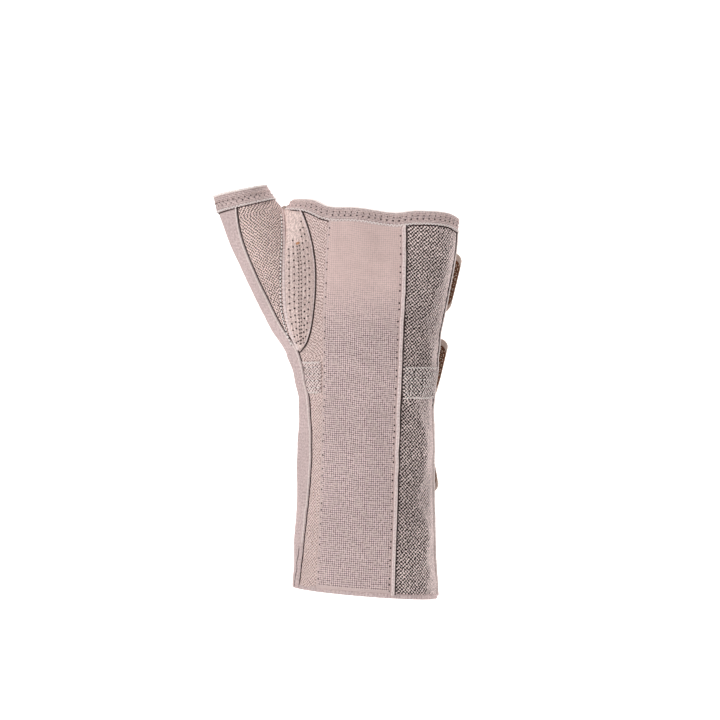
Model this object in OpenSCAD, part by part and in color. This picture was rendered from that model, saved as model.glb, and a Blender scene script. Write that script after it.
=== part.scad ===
// Elastic wrist splint with a thumb sleeve, open along the back of the hand.
// +Z runs along the forearm to the fingers, -Y is the palm side, -X is the thumb side.
// The origin is the middle of the forearm opening, on the plane of its hem.

/* [Sleeve] */
// Height of the palm hem at the middle of the palm
sleeve_h = 204; // [196:1:212]
// Width of the sleeve at the forearm hem
forearm_w = 76; // [72:1:82]
// Width of the sleeve at the wrist
wrist_w = 70.6; // [66:0.2:74]
// Width of the sleeve at the palm hem
palm_w = 91; // [88:1:94]
// Depth of the sleeve at the forearm hem
forearm_d = 56; // [54:1:60]
// Depth of the sleeve at the palm hem
palm_d = 39; // [38:1:42]

/* [Thumb] */
// Horizontal distance of the thumb hem's outer edge from the middle
thumb_reach = 79; // [76:1:82]
// Width of the thumb sleeve at its hem
thumb_w = 27; // [25:1:29]
// Depth of the thumb sleeve at its hem
thumb_d = 28; // [26:1:31]
// Height of the thumb hem's outer edge
thumb_h = 211; // [208:1:214]
// Rise of the thumb hem per millimetre of width
thumb_hem_rise = 0.277; // [0.2:0.01:0.32]

/* [Fabric] */
// Thickness of the sleeve fabric
fabric_t = 2.4; // [2:0.1:2.6]
// Thickness of the woven pocket panel
pocket_t = 1.2; // [1:0.1:1.4]
// Width of the palm and thumb bindings
hem_w = 7.5; // [6:0.5:9]
// Width of the bindings along the back opening
edge_w = 6; // [5:0.5:7]
// How far a binding stands proud of the fabric
hem_proud = 0.6; // [0.4:0.1:0.8]
// Height of the turned forearm hem
forearm_hem_h = 3; // [2:0.5:4]
// Angle left open at each side of a seam
seam_gap = 0.3; // [0.25:0.05:0.4]

/* [Back opening] */
// Place of the fold that the back flap turns on
fold_x = -22; // [-23:0.5:-21]
// Place of the free edge of the back flap
flap_edge_x = 9; // [8:0.5:10]
// Place of the edge facing it
opening_edge_x = 17; // [16:0.5:18]

/* [Straps] */
// Width of a strap
strap_w = 33; // [30:1:34]
// Thickness of a strap
strap_t = 1.8; // [1.5:0.1:2]
// Thickness of a hook patch
hook_t = 1; // [0.8:0.1:1]
// Lower edge of the lower strap
lower_strap_z = 54; // [50:1:58]
// Lower edge of the middle strap
middle_strap_z = 103; // [100:1:106]
// Lower edge of the upper strap
upper_strap_z = 148.5; // [146:0.5:152]

/* [Stays] */
// Width of the palmar stay
stay_w = 20; // [18:1:20]
// Thickness of the palmar stay
stay_t = 1.3; // [1:0.1:1.4]
// Length of the palmar stay
stay_l = 184; // [170:1:185]
// Width of the stays sewn in at the back and thumb
side_stay_w = 8; // [6:1:9]

/* [Hidden] */

front_y = -forearm_d / 2;
palm_mid_x = 4;
web_z = 128.5;
panel_top = sleeve_h - hem_w;
stay_x = -1;
stay_face_y = front_y + 3.4;
stay_z = 6;
layer_gap = 0.2;
band_gap = 0.35;
hem_gap = 0.35;
side_stay_t = 1;
sleeve_t = 0.8;
sleeve_margin = 2;
piping_w = 2;
piping_t = 1;
back_pocket_end = 182;
leave_angle = 38;
hook_margin = 2;
anchor_x = -14;
strap_root_x = -4;
thumb_hem_w = hem_w + 1.5;
hem_turn = 0.4;
piping_angle = 1.6;
band_h = 17;
band_t = 0.9;
radial_band_z = 107;
ulnar_band_z = 104;
ulnar_stay_x = 29.5;
flap_stay_x = -8;
back_pocket_start = 12;
thumb_pocket_start = 36;
thumb_pocket_end = 200;
pocket_slack = 4;

// How far the tip of a strap runs straight, at its lower and upper corner
lower_reach = [13.5, 5];
middle_reach = [9, 16];
upper_reach = [12.5, 14.5];

// Outline of the hand tube: [height, place or depth]
hand_left = [[0, -forearm_w / 2], [27, -forearm_w / 2 + 0.6], [51, -36], [80, 0.6 - wrist_w / 2],
    [101, 0.3 - wrist_w / 2], [116, -37.6], [web_z, -41.2], [142, -42], [160, -41.5],
    [185, -41.2], [sleeve_h - 5, palm_mid_x - palm_w / 2 - 0.8], [sleeve_h, palm_mid_x - palm_w / 2],
    [sleeve_h + 7, palm_mid_x - palm_w / 2 + 4.5]];
hand_right = [[0, forearm_w / 2 + 0.4], [27, 37.1], [51, 36.2], [80, 1 + wrist_w / 2], [101, 36],
    [116, 37.7], [140, 39.8], [155, 42.8], [177, 47], [sleeve_h - 6, palm_mid_x + palm_w / 2]];
hand_depth = [[0, forearm_d], [sleeve_h / 2, (forearm_d + palm_d) / 2], [sleeve_h, palm_d]];

// Outline of the thumb column, which is the hand tube up to the web
thumb_left = [[101, 0.3 - wrist_w / 2], [116, -37.6], [web_z, -41.4], [140, -49], [154, -56.2],
    [166, -62], [185, 8.4 - thumb_reach], [203, 1.8 - thumb_reach], [thumb_h, -thumb_reach],
    [thumb_h + 8, -thumb_reach - 1.6]];
thumb_right = [[101, 36], [116, 37.7], [web_z, 38], [140, 19], [154, -4], [166, -20],
    [185, -35], [200, -41], [206, -43.6], [212, -48.5], [thumb_h + 8, thumb_w - thumb_reach - 1.6]];
thumb_depth = [[101, 47.6], [116, 46.3], [web_z, 45.3], [140, 41.5], [166, 35], [185, 32],
    [thumb_h, thumb_d]];
thumb_y = [[101, front_y + 23.8], [116, front_y + 23.15], [web_z, front_y + 22.7],
    [140, front_y + 21.4], [166, front_y + 19], [thumb_h, front_y + 18]];

// Seams on the palm side: [height, place]
dark_seam = [[0, -34.7], [33, -31.2], [72, -27.8], [98, -28.3], [115, -31.2], [web_z, -34.4],
    [142, -43.2], [160, -52.4], [177, -60], [193, -65.2], [sleeve_h + 4, -67]];
stitch_seam = [[web_z, -34.2], [133.5, -36.9], [140, -39.3], [154, -42], [190, -42],
    [200, -42.4], [205.2, -43.4]];
curved_seam = [[web_z - 0.6, -33.9], [133, -30.6], [140, -28], [152, -26.3], [167, -25.6],
    [180, -26.3], [192, -28.8], [sleeve_h, -33.2]];
pocket_left = [[0, -26], [25, -24.8], [88, -22.8], [166, -21.5], [sleeve_h, -18.6]];
pocket_right = [[0, 15.4], [41, 16.8], [107, 18.8], [167, 21.4], [sleeve_h, 22]];

// Upper edge of the palm hem: [place, height]
palm_edge = [[-44, sleeve_h + 6.5], [-31, sleeve_h + 5.3], [-20, sleeve_h + 1.2],
    [-5, sleeve_h + 0.4], [16, sleeve_h - 2.3], [27, sleeve_h - 1.2], [44, sleeve_h - 2.2],
    [52, sleeve_h - 6]];

// Smooth curve through a table of pairs, held level beyond its ends
function mix(a, b, t) = a + (b - a) * t;
function span(v, t, i = 0) = i >= len(t) - 2 || v < t[i + 1][0] ? i : span(v, t, i + 1);
function slope(t, i) = let (p = max(i - 1, 0), n = min(i + 1, len(t) - 1))
    (t[n][1] - t[p][1]) / (t[n][0] - t[p][0]);
function along(v, t) = let (i = span(v, t), h = t[i + 1][0] - t[i][0],
    s = min(max((v - t[i][0]) / h, 0), 1))
    t[i][1] * (1 + 2 * s) * (1 - s) ^ 2 + t[i + 1][1] * s ^ 2 * (3 - 2 * s)
    + h * s * (1 - s) * (slope(t, i) * (1 - s) - slope(t, i + 1) * s);

// One section of a tube: [middle x, half width, middle y, half depth]
function hand_section(z) = let (l = along(z, hand_left), r = along(z, hand_right),
    d = along(z, hand_depth) / 2)
    [(l + r) / 2, (r - l) / 2, front_y + d, d];
function thumb_section(z) = let (l = along(z, thumb_left), r = along(z, thumb_right))
    z < web_z ? hand_section(z)
    : [(l + r) / 2, (r - l) / 2, along(z, thumb_y), along(z, thumb_depth) / 2];
function on_section(s, z, a, out) = [s[0] + (s[1] + out) * cos(a), s[2] + (s[3] + out) * sin(a), z];
function hand_point(z, a, out) = on_section(hand_section(z), z, a, out);
function thumb_point(z, a, out) = on_section(thumb_section(z), z, a, out);

// Angle at which a section reaches a given x, on the back and on the palm side
function section_angle(s, x) = acos(min(max((x - s[0]) / s[1], -1), 1));
function back_angle(z, x) = section_angle(hand_section(z), x);
function palm_angle(z, x) = 360 - back_angle(z, x);
function thumb_palm_angle(z, x) = 360 - section_angle(thumb_section(z), x);

// Edges of the sleeve at a given angle
function palm_top(a) = along(hand_point(panel_top, a, 0)[0], palm_edge);
function thumb_rim(x) = thumb_h + thumb_hem_rise * (x + thumb_reach);
function thumb_top(a) = let (x = thumb_point(thumb_h + 2, a, 0)[0], z = thumb_rim(x))
    thumb_rim(thumb_point(z, a, 0)[0]);
function fold_angle(z) = back_angle(z, fold_x);
function strip_seam(z) = z < web_z ? palm_angle(z, along(z, dark_seam))
    : palm_angle(z, along(z, curved_seam));

// Closed sheet between an outer and an inner grid of points
function quad(a, b, c, d) = [[a, b, c], [a, c, d]];
module sheet(place, cols, rows, out, into) {
    c = cols + 1;
    n = c * (rows + 1);
    points = [for (o = [out, into]) for (v = [0:rows]) for (u = [0:cols])
        place(u / cols, v / rows, o)];
    faces = [
        for (v = [0:rows - 1]) for (u = [0:cols - 1]) let (i = v * c + u)
            for (f = concat(quad(i, i + c, i + c + 1, i + 1),
                quad(n + i, n + i + 1, n + i + c + 1, n + i + c))) f,
        for (u = [0:cols - 1]) let (j = rows * c + u)
            for (f = concat(quad(u, u + 1, n + u + 1, n + u),
                quad(j + 1, j, n + j, n + j + 1))) f,
        for (v = [0:rows - 1]) let (l = v * c, r = l + cols)
            for (f = concat(quad(l + c, l, n + l, n + l + c),
                quad(r, r + c, n + r + c, n + r))) f];
    polyhedron(points, faces);
}

// Panel of the hand tube between two seams and two heights
module hand_panel(from, to, low, high, cols, rows, out = 0, into = -fabric_t) {
    sheet(function(u, v, o) let (
        guess = mix(from(panel_top * v), to(panel_top * v), u),
        z = mix(low(guess), high(guess), v),
        a = mix(from(z) + seam_gap, to(z) - seam_gap, u))
        hand_point(mix(low(a), high(a), v), a, o), cols, rows, out, into);
}
// Panel at a fixed stretch of heights
module hand_patch(from, to, low, high, cols, rows, out, into) {
    sheet(function(u, v, o) let (z = mix(low, high, v), a = mix(from(z) + seam_gap, to(z) - seam_gap, u))
        hand_point(z, a, o), cols, rows, out, into);
}
function above_hem(a) = forearm_hem_h + hem_gap / 2;
function below_palm_hem(a) = palm_top(a) - hem_w - hem_gap;
function below_thumb_hem(a) = thumb_top(a) - thumb_hem_w - 0.1;

module palmar_pocket_panel() {
    color("rosybrown")
    hand_panel(function(z) palm_angle(z, along(z, pocket_left)),
        function(z) palm_angle(z, along(z, pocket_right)),
        function(a) above_hem(a), function(a) below_palm_hem(a), 8, 20, 0, -pocket_t);
}

// Channel behind the pocket panel, closed at the finger end
module pocket_lining() {
    wall = 1;
    end_room = 2;
    inner_w = stay_w + 2;
    back_y = stay_face_y + stay_t + layer_gap;
    depth = back_y - stay_face_y + 0.1;
    color("tan")
    translate([stay_x, back_y, forearm_hem_h])
    difference() {
        translate([-inner_w / 2 - wall, -depth, 0])
            cube([inner_w + 2 * wall, depth + wall, stay_z + stay_l + end_room + wall - forearm_hem_h]);
        translate([-inner_w / 2, -depth - 1, -1])
            cube([inner_w, depth + 1, stay_z + stay_l + end_room + 1 - forearm_hem_h]);
    }
}

module pocket_piping() {
    color("mistyrose")
    hand_panel(function(z) palm_angle(z, along(z, pocket_right) - piping_w),
        function(z) palm_angle(z, along(z, pocket_right)),
        function(a) above_hem(a), function(a) below_palm_hem(a), 2, 20,
        layer_gap / 2 + piping_t, layer_gap / 2);
}

module palmar_stay() {
    corner = 8;
    color("silver")
    translate([stay_x, stay_face_y + stay_t, stay_z])
    rotate([90, 0, 0])
    linear_extrude(stay_t) {
        translate([-stay_w / 2, corner]) square([stay_w, stay_l - 2 * corner]);
        translate([corner - stay_w / 2, 0]) square([stay_w - 2 * corner, stay_l]);
        for (x = [corner - stay_w / 2, stay_w / 2 - corner]) for (y = [corner, stay_l - corner])
            translate([x, y]) circle(corner, $fn = 48);
    }
}

module radial_palm_strip() {
    color("rosybrown")
    hand_panel(function(z) strip_seam(z), function(z) palm_angle(z, along(z, pocket_left)),
        function(a) above_hem(a), function(a) below_palm_hem(a), 3, 24);
}

module ulnar_palm_panel() {
    color("rosybrown")
    hand_panel(function(z) palm_angle(z, along(z, pocket_right)), function(z) 360 - piping_angle,
        function(a) above_hem(a), function(a) below_palm_hem(a), 5, 20);
}

module wrist_band_radial() {
    color("pink")
    hand_patch(function(z) palm_angle(z, along(z, dark_seam) + 0.4),
        function(z) palm_angle(z, along(z, pocket_left) - 0.4), radial_band_z, radial_band_z + band_h,
        3, 3, band_gap + band_t, band_gap);
}

module wrist_band_ulnar() {
    color("pink")
    hand_patch(function(z) palm_angle(z, along(z, pocket_right) + 0.6),
        function(z) 359.1 - piping_angle, ulnar_band_z, ulnar_band_z + band_h,
        5, 3, band_gap + band_t, band_gap);
}

// Smooth band round the thumb side, from the forearm hem to the thumb hem
module radial_side_band() {
    color("thistle")
    sheet(function(u, v, o) let (
        z = mix(above_hem(180), below_thumb_hem(180), v),
        half = thumb_palm_angle(z, along(z, dark_seam)) - 180 - seam_gap,
        a = 180 + mix(-half, half, u))
        thumb_point(z + v ^ 3 * (thumb_top(a) - thumb_top(180)), a, o), 7, 26, 0, -fabric_t);
}

// Face of the thumb sleeve, turned to the back for the facing panel
module thumb_face(side) {
    low = web_z + 6;
    first_guess = [230, 360];
    sheet(function(u, v, o) let (
        t = side > 0 ? u : 1 - u,
        level = mix(low, below_thumb_hem(mix(first_guess[0], first_guess[1], t)), v),
        guess = mix(thumb_palm_angle(level, along(level, dark_seam)),
            thumb_palm_angle(level, along(level, stitch_seam)), t),
        z = mix(low, below_thumb_hem(guess), v),
        a = mix(thumb_palm_angle(z, along(z, dark_seam)) + seam_gap,
            thumb_palm_angle(z, along(z, stitch_seam)) - seam_gap, t))
        thumb_point(z, side > 0 ? a : 360 - a, o), 7, 18, 0, -fabric_t);
}
module thumb_palmar_panel() {
    color("rosybrown")
    thumb_face(1);
}
module thumb_dorsal_panel() {
    color("rosybrown")
    thumb_face(-1);
}

// Web between thumb and palm: up the palm side, over the web and down the back
module thumb_web_gusset() {
    crest = 0.25;
    crest_z = 205;
    shoulder_z = 197;
    low = web_z + 0.8;
    shoulder_a = strip_seam(below_palm_hem(210)) - 180;
    color("thistle")
    sheet(function(u, v, o) let (
        w = mix(-1, 1, u),
        s = abs(w),
        q = min(s / crest, 1),
        t = max((s - crest) / (1 - crest), 0),
        tz = mix(mix(crest_z, shoulder_z, q ^ 2), low, t),
        ta = 360 - thumb_palm_angle(tz, along(tz, stitch_seam)) - 4 * seam_gap,
        rim = 180 + q * shoulder_a,
        pz = mix(below_palm_hem(rim) - 2 * hem_gap, low, t),
        pa = (t > 0 ? strip_seam(pz) : rim) - 180 - 2 * seam_gap,
        k = sin(90 * min(s / 0.4, 1)),
        thumb_a = sign(w) * max(ta, 0),
        palm_a = 180 - sign(w) * max(pa, 0),
        flank = mix([cos(thumb_a), sin(thumb_a), 0], [cos(palm_a), sin(palm_a), 0], v))
        mix(thumb_point(tz, thumb_a, 0), hand_point(pz, palm_a, 0), v)
        + o * mix([0, 0, 1], flank, k), 48, 3, 0, -fabric_t);
}

module dorsal_radial_panel() {
    color("rosybrown")
    hand_panel(function(z) fold_angle(z), function(z) 360 - strip_seam(z),
        function(a) above_hem(a), function(a) below_palm_hem(a), 2, 24);
}

module dorsal_ulnar_panel() {
    color("rosybrown")
    hand_panel(function(z) piping_angle, function(z) back_angle(z, opening_edge_x + edge_w),
        function(a) above_hem(a), function(a) below_palm_hem(a), 5, 20);
}

module ulnar_edge_piping() {
    color("white")
    hand_panel(function(z) -piping_angle, function(z) piping_angle,
        function(a) above_hem(a), function(a) below_palm_hem(a), 2, 20, 0.8, -fabric_t);
}

module opening_edge_binding() {
    color("mistyrose")
    hand_panel(function(z) back_angle(z, opening_edge_x + edge_w),
        function(z) back_angle(z, opening_edge_x),
        function(a) above_hem(a), function(a) below_palm_hem(a), 2, 20, hem_proud, -fabric_t - 0.3);
}

// Binding round the finger opening, from the fold round the palm to the back opening
module palm_hem() {
    color("mistyrose")
    sheet(function(u, v, o) let (
        a = mix(fold_angle(panel_top) + seam_gap, 360 + back_angle(panel_top, opening_edge_x), u))
        hand_point(palm_top(a) - hem_w * (1 - v), a, o), 40, 1, hem_proud, -fabric_t);
}

module thumb_hem() {
    color("mistyrose")
    sheet(function(u, v, o) let (a = mix(0.2, 359.8, u))
        thumb_point(thumb_top(a) - thumb_hem_w * (1 - v), a, o), 28, 1, hem_proud, -fabric_t);
}

// Turned edge of the forearm end, thin enough to leave the pocket's mouth open
module forearm_hem() {
    color("thistle")
    sheet(function(u, v, o) let (
        a = mix(fold_angle(0) + seam_gap, 360 + back_angle(0, opening_edge_x), u))
        hand_point(forearm_hem_h * v, a, o), 40, 1, hem_turn, -pocket_t);
}

// Thin strip inside the sleeve, along a line at a given x or on the thumb side
module thumb_strip(width, low, high, out, into) {
    sheet(function(u, v, o) let (z = mix(low, high, v), s = thumb_section(z),
        half = asin(width / 2 / s[3]), a = 180 + mix(-half, half, u))
        thumb_point(z, a, o), 2, 18, out, into);
}
module back_strip(x, width, low, high, out, into) {
    sheet(function(u, v, o) let (z = mix(low, high, v),
        a = mix(back_angle(z, x + width / 2), back_angle(z, x - width / 2), u))
        hand_point(z, a, o), 2, 10, out, into);
}
stay_out = -fabric_t - band_gap - layer_gap;
sleeve_out = stay_out - side_stay_t - layer_gap;

module thumb_stay() {
    color("silver")
    thumb_strip(side_stay_w, thumb_pocket_start + pocket_slack, thumb_pocket_end - pocket_slack,
        stay_out, stay_out - side_stay_t);
}
module thumb_stay_sleeve() {
    color("tan")
    thumb_strip(side_stay_w + 2 * sleeve_margin, thumb_pocket_start, thumb_pocket_end,
        sleeve_out, sleeve_out - sleeve_t);
}
module ulnar_back_stay() {
    color("silver")
    back_strip(ulnar_stay_x, side_stay_w, back_pocket_start + pocket_slack,
        back_pocket_end - pocket_slack, stay_out, stay_out - side_stay_t);
}
module ulnar_back_stay_sleeve() {
    color("tan")
    back_strip(ulnar_stay_x, side_stay_w + sleeve_margin, back_pocket_start, back_pocket_end,
        sleeve_out, sleeve_out - sleeve_t);
}

module flap_panel() {
    color("rosybrown")
    hand_panel(function(z) back_angle(z, flap_edge_x - edge_w), function(z) fold_angle(z) - 0.3,
        function(a) above_hem(a), function(a) below_palm_hem(a), 4, 20);
}

module flap_edge_binding() {
    color("mistyrose")
    hand_panel(function(z) back_angle(z, flap_edge_x), function(z) back_angle(z, flap_edge_x - edge_w),
        function(a) above_hem(a), function(a) below_palm_hem(a), 2, 20, hem_proud, -fabric_t - 0.3);
}

module flap_palm_hem() {
    color("mistyrose")
    sheet(function(u, v, o) let (
        a = mix(back_angle(panel_top, flap_edge_x), fold_angle(panel_top) - seam_gap - 0.3, u))
        hand_point(palm_top(a) - hem_w * (1 - v), a, o), 6, 1, hem_proud, -fabric_t);
}

module flap_forearm_hem() {
    color("thistle")
    sheet(function(u, v, o) let (
        a = mix(back_angle(0, flap_edge_x), fold_angle(0) - seam_gap - 0.3, u))
        hand_point(forearm_hem_h * v, a, o), 6, 1, hem_turn, -pocket_t);
}

module flap_stay() {
    color("silver")
    back_strip(flap_stay_x, side_stay_w, back_pocket_start + pocket_slack,
        back_pocket_end - pocket_slack, stay_out, stay_out - side_stay_t);
}
module flap_stay_sleeve() {
    color("tan")
    back_strip(flap_stay_x, side_stay_w + 2 * sleeve_margin, back_pocket_start, back_pocket_end,
        sleeve_out, sleeve_out - sleeve_t);
}

// Sewn root of a strap, on the back flap
module strap_anchor(low) {
    color("tan")
    hand_patch(function(z) back_angle(z, strap_root_x), function(z) back_angle(z, anchor_x),
        low, low + strap_w, 2, 3, layer_gap + hook_t + strap_t, layer_gap / 2);
}

// Way of a strap from its tip (u = 0) to its root (u = 1); reach is how far the tip runs straight
function strap_way(z, u, out, reach) = let (
    s = hand_section(z),
    bend = 0.2,
    a = mix(leave_angle, section_angle(s, strap_root_x) - 0.5, max((u - bend) / (1 - bend), 0)),
    run = reach * max(1 - u / bend, 0),
    d = [s[1] * sin(leave_angle), -s[3] * cos(leave_angle), 0])
    on_section(s, z, a, out) + run * d / norm(d);
module strap(low, reach) {
    lift = layer_gap + hook_t + 0.1;
    color("wheat")
    sheet(function(u, v, o) strap_way(low + v * strap_w, u, o, mix(reach[0], reach[1], v)),
        10, 3, lift + strap_t, lift);
}
module hook_patch(low, reach) {
    width = strap_w - 2 * hook_margin;
    start = 0.015;
    end = 0.36;
    color("sienna")
    sheet(function(u, v, o) strap_way(low + hook_margin + v * width, mix(start, end, u), o,
        mix(reach[0], reach[1], v)), 8, 3, layer_gap + hook_t, layer_gap);
}

palmar_pocket_panel();
pocket_lining();
pocket_piping();
palmar_stay();
radial_palm_strip();
ulnar_palm_panel();
wrist_band_radial();
wrist_band_ulnar();
radial_side_band();
thumb_palmar_panel();
thumb_dorsal_panel();
thumb_web_gusset();
dorsal_radial_panel();
dorsal_ulnar_panel();
ulnar_edge_piping();
opening_edge_binding();
palm_hem();
thumb_hem();
forearm_hem();
thumb_stay();
thumb_stay_sleeve();
ulnar_back_stay();
ulnar_back_stay_sleeve();
flap_panel();
flap_edge_binding();
flap_palm_hem();
flap_forearm_hem();
flap_stay();
flap_stay_sleeve();
strap_anchor(lower_strap_z);  // strap_anchor_lower
strap_anchor(middle_strap_z);  // strap_anchor_middle
strap_anchor(upper_strap_z);  // strap_anchor_upper
strap(lower_strap_z, lower_reach);  // strap_lower
strap(middle_strap_z, middle_reach);  // strap_middle
strap(upper_strap_z, upper_reach);  // strap_upper
hook_patch(lower_strap_z, lower_reach);  // hook_patch_lower
hook_patch(middle_strap_z, middle_reach);  // hook_patch_middle
hook_patch(upper_strap_z, upper_reach);  // hook_patch_upper
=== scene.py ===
import functools
import itertools
import math

import bpy
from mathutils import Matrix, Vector, noise


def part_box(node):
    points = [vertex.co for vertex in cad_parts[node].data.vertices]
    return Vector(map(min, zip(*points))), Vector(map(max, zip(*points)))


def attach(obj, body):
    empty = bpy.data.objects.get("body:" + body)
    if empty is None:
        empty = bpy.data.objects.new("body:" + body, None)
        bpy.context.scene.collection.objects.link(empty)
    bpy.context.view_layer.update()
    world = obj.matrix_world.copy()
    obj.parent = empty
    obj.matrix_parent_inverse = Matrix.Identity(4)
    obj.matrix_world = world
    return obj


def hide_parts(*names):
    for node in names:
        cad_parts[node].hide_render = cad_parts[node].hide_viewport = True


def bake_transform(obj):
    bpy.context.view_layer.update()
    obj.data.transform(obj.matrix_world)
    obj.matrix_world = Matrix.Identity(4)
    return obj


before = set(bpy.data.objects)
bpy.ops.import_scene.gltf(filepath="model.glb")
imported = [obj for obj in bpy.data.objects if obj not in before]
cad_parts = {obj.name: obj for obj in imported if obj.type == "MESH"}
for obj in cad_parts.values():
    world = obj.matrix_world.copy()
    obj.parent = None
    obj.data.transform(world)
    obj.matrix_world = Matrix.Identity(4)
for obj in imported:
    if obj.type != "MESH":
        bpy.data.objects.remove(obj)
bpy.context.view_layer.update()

# The splint's cloth is drawn in millimetres on the same outlines as the CAD, then scaled to metres.
MM = 0.001
TAU = 2 * math.pi

# ---- driving dimensions (mm)
SLEEVE_H = 204.0
PALM_W = 91.0
PALM_MID_X = 4.0
FOREARM_D = 56.0
PALM_D = 39.0
THUMB_REACH = 79.0
THUMB_W = 27.0
THUMB_D = 28.0
THUMB_H = 211.0
THUMB_RISE = 0.277
FABRIC_T = 2.4
POCKET_T = 1.2
HEM_W = 7.5
THUMB_HEM_W = 9.0
EDGE_W = 6.0
FOREARM_HEM_H = 3.0
FOLD_X = -22.0
FLAP_EDGE_X = 9.0
OPENING_EDGE_X = 17.0
STRAP_W = 33.0
STRAP_T = 1.3
STRAP_LIFT = 1.3
HOOK_MARGIN = 3.2
STAY_X = -1.0
STAY_W = 20.0
SIDE_STAY_W = 8.0
SIDE_STAY_T = 1.0
WEB_Z = 128.5
PIPING_W = 2.0
RADIAL_BAND = (107, 124)
ULNAR_BAND = (104, 121)
FRONT_Y = -FOREARM_D / 2
PANEL_LOW = FOREARM_HEM_H - 0.4
PANEL_TOP = SLEEVE_H - HEM_W
LEAVE_ANGLE = 38.0
STRAP_ROOT_X = -4.0
ANCHOR_X = -14.0

# Outlines: [height, place]
HAND_LEFT = [(0, -38), (27, -37.4), (51, -36), (80, -34.7), (101, -35), (116, -37.6), (WEB_Z, -41.2),
    (142, -42), (160, -41.5), (185, -41.2), (SLEEVE_H - 5, PALM_MID_X - PALM_W / 2 - 0.8),
    (SLEEVE_H, PALM_MID_X - PALM_W / 2), (SLEEVE_H + 7, PALM_MID_X - PALM_W / 2 + 5.6)]
HAND_RIGHT = [(0, 38.4), (27, 37.1), (51, 36.2), (80, 36.3), (101, 36), (116, 37.7), (140, 39.8),
    (155, 42.8), (177, 47), (SLEEVE_H - 6, PALM_MID_X + PALM_W / 2)]
HAND_DEPTH = [(0, FOREARM_D), (SLEEVE_H / 2, (FOREARM_D + PALM_D) / 2), (SLEEVE_H, PALM_D)]
THUMB_LEFT = [(101, -35), (116, -37.6), (WEB_Z, -41.4), (140, -49), (154, -56.2), (166, -62),
    (185, 8.4 - THUMB_REACH), (203, 1.8 - THUMB_REACH), (THUMB_H, -THUMB_REACH),
    (THUMB_H + 8, -THUMB_REACH - 1.6)]
THUMB_RIGHT = [(101, 36), (116, 37.7), (WEB_Z, 38), (140, 19), (154, -4), (166, -20), (185, -35),
    (200, -41), (206, -44.6), (212, -50.2), (THUMB_H + 8, THUMB_W - THUMB_REACH - 1.8)]
THUMB_DEPTH = [(101, 47.6), (116, 46.3), (WEB_Z, 45.3), (140, 41.5), (166, 35), (185, 32),
    (THUMB_H, THUMB_D)]
THUMB_Y = [(101, FRONT_Y + 23.8), (116, FRONT_Y + 23.15), (WEB_Z, FRONT_Y + 22.7), (140, FRONT_Y + 21.4),
    (166, FRONT_Y + 19), (THUMB_H, FRONT_Y + 18)]
DARK_SEAM = [(0, -34.7), (33, -31.2), (72, -27.8), (98, -28.3), (115, -31.2), (WEB_Z, -34.4),
    (142, -43.2), (160, -52.4), (177, -60), (193, -65.2), (SLEEVE_H + 4, -67)]
STITCH_SEAM = [(WEB_Z, -34.2), (133.5, -36.9), (140, -39.3), (154, -42), (190, -42), (200, -42.4),
    (205.2, -43.4)]
CURVED_SEAM = [(WEB_Z - 0.6, -33.9), (133, -30.6), (140, -28), (152, -26.3), (167, -25.6), (180, -26.3),
    (192, -28.8), (SLEEVE_H, -33.2)]
POCKET_LEFT = [(0, -26), (25, -24.8), (88, -22.8), (166, -21.5), (SLEEVE_H, -18.6)]
POCKET_RIGHT = [(0, 15.4), (41, 16.8), (107, 18.8), (167, 21.4), (SLEEVE_H, 22)]
PALM_EDGE = [(-44, SLEEVE_H + 7.3), (-31, SLEEVE_H + 5.8), (-20, SLEEVE_H + 1.2), (-5, SLEEVE_H + 0.4),
    (16, SLEEVE_H - 2.3), (27, SLEEVE_H - 1.2), (44, SLEEVE_H - 2.2), (52, SLEEVE_H - 6)]
# Straps: name, lower edge, straight reach of the tip at its lower and upper corner
STRAPS = (("lower", 54.0, (13.5, 5.0)), ("middle", 103.0, (9.0, 16.0)), ("upper", 148.5, (12.5, 14.5)))


# ---- curves and sections
def mix(a, b, t):
    return a + (b - a) * t


def ease(t):
    t = min(max(t, 0.0), 1.0)
    return t * t * (3 - 2 * t)


def along(v, table):
    """Smooth curve through a table of pairs, held level beyond its ends."""
    last = len(table) - 1
    i = 0
    while i < last - 1 and v >= table[i + 1][0]:
        i += 1

    def slope(k):
        a, b = table[max(k - 1, 0)], table[min(k + 1, last)]
        return (b[1] - a[1]) / (b[0] - a[0])

    h = table[i + 1][0] - table[i][0]
    s = min(max((v - table[i][0]) / h, 0.0), 1.0)
    value = table[i][1] * (1 + 2 * s) * (1 - s) ** 2 + table[i + 1][1] * s * s * (3 - 2 * s)
    return value + h * s * (1 - s) * (slope(i) * (1 - s) - slope(i + 1) * s)


@functools.lru_cache(100000)
def hand_section(z):
    """Middle x, half width, middle y and half depth of the hand tube."""
    left, right, depth = along(z, HAND_LEFT), along(z, HAND_RIGHT), along(z, HAND_DEPTH) / 2
    return (left + right) / 2, (right - left) / 2, FRONT_Y + depth, depth


@functools.lru_cache(100000)
def thumb_section(z):
    if z < WEB_Z:
        return hand_section(z)
    left, right, depth = along(z, THUMB_LEFT), along(z, THUMB_RIGHT), along(z, THUMB_DEPTH) / 2
    return (left + right) / 2, (right - left) / 2, along(z, THUMB_Y), depth


def hem_tilt(x, z):
    """The worn forearm hem rides up a little on the thumb side."""
    return (1.2 - 0.08 * x) * max(1 - z / 45, 0.0) ** 2


def on_section(section, z, angle, out):
    a = math.radians(angle)
    x = section[0] + (section[1] + out) * math.cos(a)
    return Vector((x, section[2] + (section[3] + out) * math.sin(a), z + hem_tilt(x, z)))


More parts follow.
